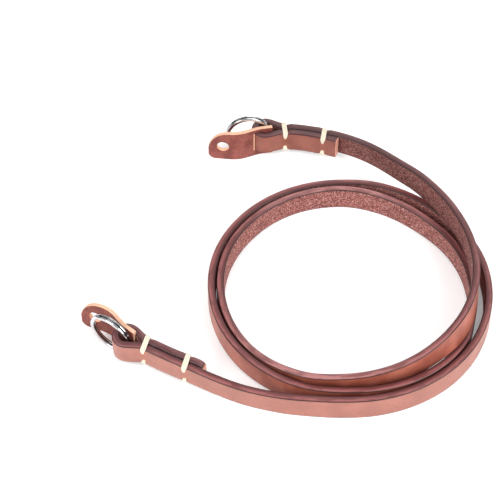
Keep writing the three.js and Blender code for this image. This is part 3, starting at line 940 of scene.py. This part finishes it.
def ring_place(name, eye_point):
    """How the solid's ring is turned, as a matrix, with its centre and its outer radius."""
    points, _ = welded(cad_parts[name].data)
    axes = np.linalg.svd(points - points.mean(0), full_matrices=False)[2]
    axis = Vector(axes[2])
    level_way = Vector((0, 0, 1)).cross(axis).normalized()
    ways = (level_way, axis.cross(level_way), axis)
    reach = [points @ np.array(way) for way in ways]
    centre = Vector()
    for way, values in zip(ways, reach):
        centre += way * float(values.max() + values.min()) / 2
    if level_way.dot(centre - eye_point) < 0:
        level_way = -level_way
    across = axis.cross(level_way)
    radius = float(np.ptp(reach[0])) / 2
    return Matrix((level_way, across, axis)).transposed().to_4x4(), centre, radius


rings = {}
for name, binding in (("ring_far", pairs[1]), ("ring_near", pairs[3])):
    turn, centre, radius = ring_place(name, Vector(sections["middle"][binding[0]]))
    seed = bpy.data.meshes.new("empty")
    ring = grown(name + "_steel", seed, tree, {"Middle radius": radius - WIRE_WIDTH / 2, "Material": steel})
    face_outwards(ring.data)
    mark_groove(ring.data)
    ring.data.transform(Matrix.Translation(centre) @ turn)
    rings[name] = ring
    print(name, "outer radius", round(radius / MM, 2), "mm at", [round(v / MM, 1) for v in centre])

# %% [markdown]
# ## Guards
# A guard is a thin piece of the same leather, cut with a knife, so its edges stay raw and pale. Its
# shape is right in the solid. A welded copy gets softened edges in a paler tone, and each face is
# marked as cut edge or as leather face by the way it points.

# %% Guard material
GUARD_FACE = (0.18, 0.038, 0.028)
GUARD_FACE_PALE = (0.30, 0.080, 0.058)
RAW_EDGE = (0.82, 0.49, 0.33)
RAW_EDGE_DEEP = (0.72, 0.38, 0.24)
CUT_LINE_DEEP = (0.60, 0.28, 0.17)

guard_leather, tree, shader = new_material("guard_leather")
own = add(tree, "ShaderNodeTexCoord").outputs["Object"]
is_raw = add(tree, "ShaderNodeAttribute", attribute_name="raw").outputs["Fac"]
nap = noise(tree, own, 0.8 * MM, 5)
slow = noise(tree, own, 5 * MM, 2)
face_tone = blend(tree, ramp(tree, slow, 0.3, 0.7), GUARD_FACE, GUARD_FACE_PALE)
face_tone = blend(tree, ramp(tree, nap, 0.5, 0.3), face_tone, GUARD_FACE)
raw_tone = blend(tree, ramp(tree, nap, 0.5, 0.3), RAW_EDGE, RAW_EDGE_DEEP)
tone = blend(tree, is_raw, face_tone, raw_tone)
put(shader, {"Base Color": tone, "Normal": bumped(tree, nap, 0.5, 0.2 * MM)})
shader.inputs["Roughness"].default_value = 0.7

cut_line, tree, shader = new_material("guard_cut_line")
own = add(tree, "ShaderNodeTexCoord").outputs["Object"]
nap = noise(tree, own, 0.5 * MM, 4)
put(shader, {"Base Color": blend(tree, ramp(tree, nap, 0.55, 0.35), RAW_EDGE, CUT_LINE_DEEP)})
shader.inputs["Roughness"].default_value = 0.75
print("guard leather and cut line ready")

# %% Guards
GUARD_EDGE_ROUND = 0.38 * MM
EDGE_ANGLE = math.radians(40)
CUT_FACING = 0.62


def lengthwise(points):
    """The level direction in which the points of a guard lie furthest apart."""
    spread = points[:, :2] - points[:, :2].mean(0)
    return np.append(np.linalg.svd(spread, full_matrices=False)[2][0], 0)


def guard_piece(name):
    """A softened copy of a guard's solid, with its cut edges marked."""
    points, faces = welded(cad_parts[name].data)
    mesh = bpy.data.meshes.new(name + "_leather")
    mesh.from_pydata([tuple(p) for p in points], [], faces)
    mesh.update()
    along = lengthwise(points)
    raw = []
    for face in mesh.polygons:
        normal = np.array(face.normal)
        raw.append(1.0 if max(abs(normal[2]), abs(normal @ along)) > CUT_FACING else 0.0)
    mesh.attributes.new("raw", "FLOAT", "FACE").data.foreach_set("value", raw)
    mesh.materials.append(guard_leather)
    mesh.materials.append(cut_line)
    piece = bpy.data.objects.new(name + "_leather", mesh)
    scene.collection.objects.link(piece)
    soft = piece.modifiers.new("softened", "BEVEL")
    soft.width = GUARD_EDGE_ROUND
    soft.segments = 2
    soft.material = 1
    soft.limit_method = "ANGLE"
    soft.angle_limit = EDGE_ANGLE
    mesh.shade_smooth()
    print(name, "has", len(faces), "faces,", int(sum(raw)), "of them cut edge")
    return piece


guards = {name: guard_piece(name) for name in ("guard_near", "guard_far")}

# %% [markdown]
# ## Cut lip of the slot
# A knife leaves a small pale lip of fibre along the slot that the strap passes through. The tall
# sharp edges of the solid that stay inside its outline are the slot's sides. A tree sweeps a thin
# round lip along them.

# %% Slot lips
LIP_RADIUS = 0.3 * MM
LIP_SET_BACK = 0.12 * MM
LIP_MIN_HEIGHT = 2 * MM
END_MARGIN = 1.5 * MM
RIM_MARGIN = 1 * MM
SHARP_COSINE = 0.5
LEAST_NORMAL = 1e-12

tree, given, result = new_tree("slot_lip", {
    "Radius": ("NodeSocketFloat", LIP_RADIUS),
    "Material": ("NodeSocketMaterial", None),
})
curve = add(tree, "GeometryNodeMeshToCurve", {"Mesh": given["Geometry"]}).outputs[0]
profile = add(tree, "GeometryNodeCurvePrimitiveCircle", {"Resolution": 8, "Radius": given["Radius"]})
lip = add(tree, "GeometryNodeCurveToMesh", {"Curve": curve, "Profile Curve": profile.outputs[0],
                                            "Fill Caps": True})
finish_tree(tree, result, lip.outputs[0], given["Material"])


def slot_sides(name):
    """The slot's tall edges as open lines, set back a little into the leather beside the slot."""
    points, faces = welded(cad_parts[name].data)
    heights = points[:, 2]
    low, high = heights.min() + RIM_MARGIN, heights.max() - RIM_MARGIN
    reach = points @ lengthwise(points)
    normals = {}
    for face in faces:
        a, b, c = (points[i] for i in face[:3])
        normal = np.cross(b - a, c - a)
        for i, start in enumerate(face):
            edge = tuple(sorted((start, face[i - 1])))
            normals.setdefault(edge, []).append(normal / max(np.linalg.norm(normal), LEAST_NORMAL))
    sides = []
    for (a, b), pair in normals.items():
        bottom, top = sorted((heights[a], heights[b]))
        inside = low < bottom and top < high
        from_end = min(reach[a] - reach.min(), reach.max() - reach[a])
        sharp = len(pair) == 2 and pair[0] @ pair[1] < SHARP_COSINE
        if inside and from_end > END_MARGIN and top - bottom > LIP_MIN_HEIGHT and sharp:
            sides.append((points[[a, b]], pair))
    middle = np.mean([ends.mean(0) for ends, _ in sides], axis=0)
    mesh = bpy.data.meshes.new("slot_sides")
    corners = []
    for ends, pair in sides:
        wall = max(pair, key=lambda normal: abs(normal @ (ends.mean(0) - middle)))
        corners += [tuple(p - wall * LIP_SET_BACK) for p in ends]
    mesh.from_pydata(corners, [(i, i + 1) for i in range(0, len(corners), 2)], [])
    print(name, "has", len(sides), "slot edges")
    return mesh


lips = [grown(name + "_slot_lip", slot_sides(name), tree, {"Material": cut_line}) for name in guards]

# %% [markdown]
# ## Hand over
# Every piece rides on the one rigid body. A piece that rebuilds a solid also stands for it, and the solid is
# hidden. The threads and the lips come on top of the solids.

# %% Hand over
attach(strap, "root")
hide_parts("strap")
for piece in thread_pieces:
    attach(piece, "root")
for name, ring in rings.items():
    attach(ring, "root")
    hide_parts(name)
for lip in lips:
    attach(lip, "root")
for name, guard in guards.items():
    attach(guard, "root")
    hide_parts(name)
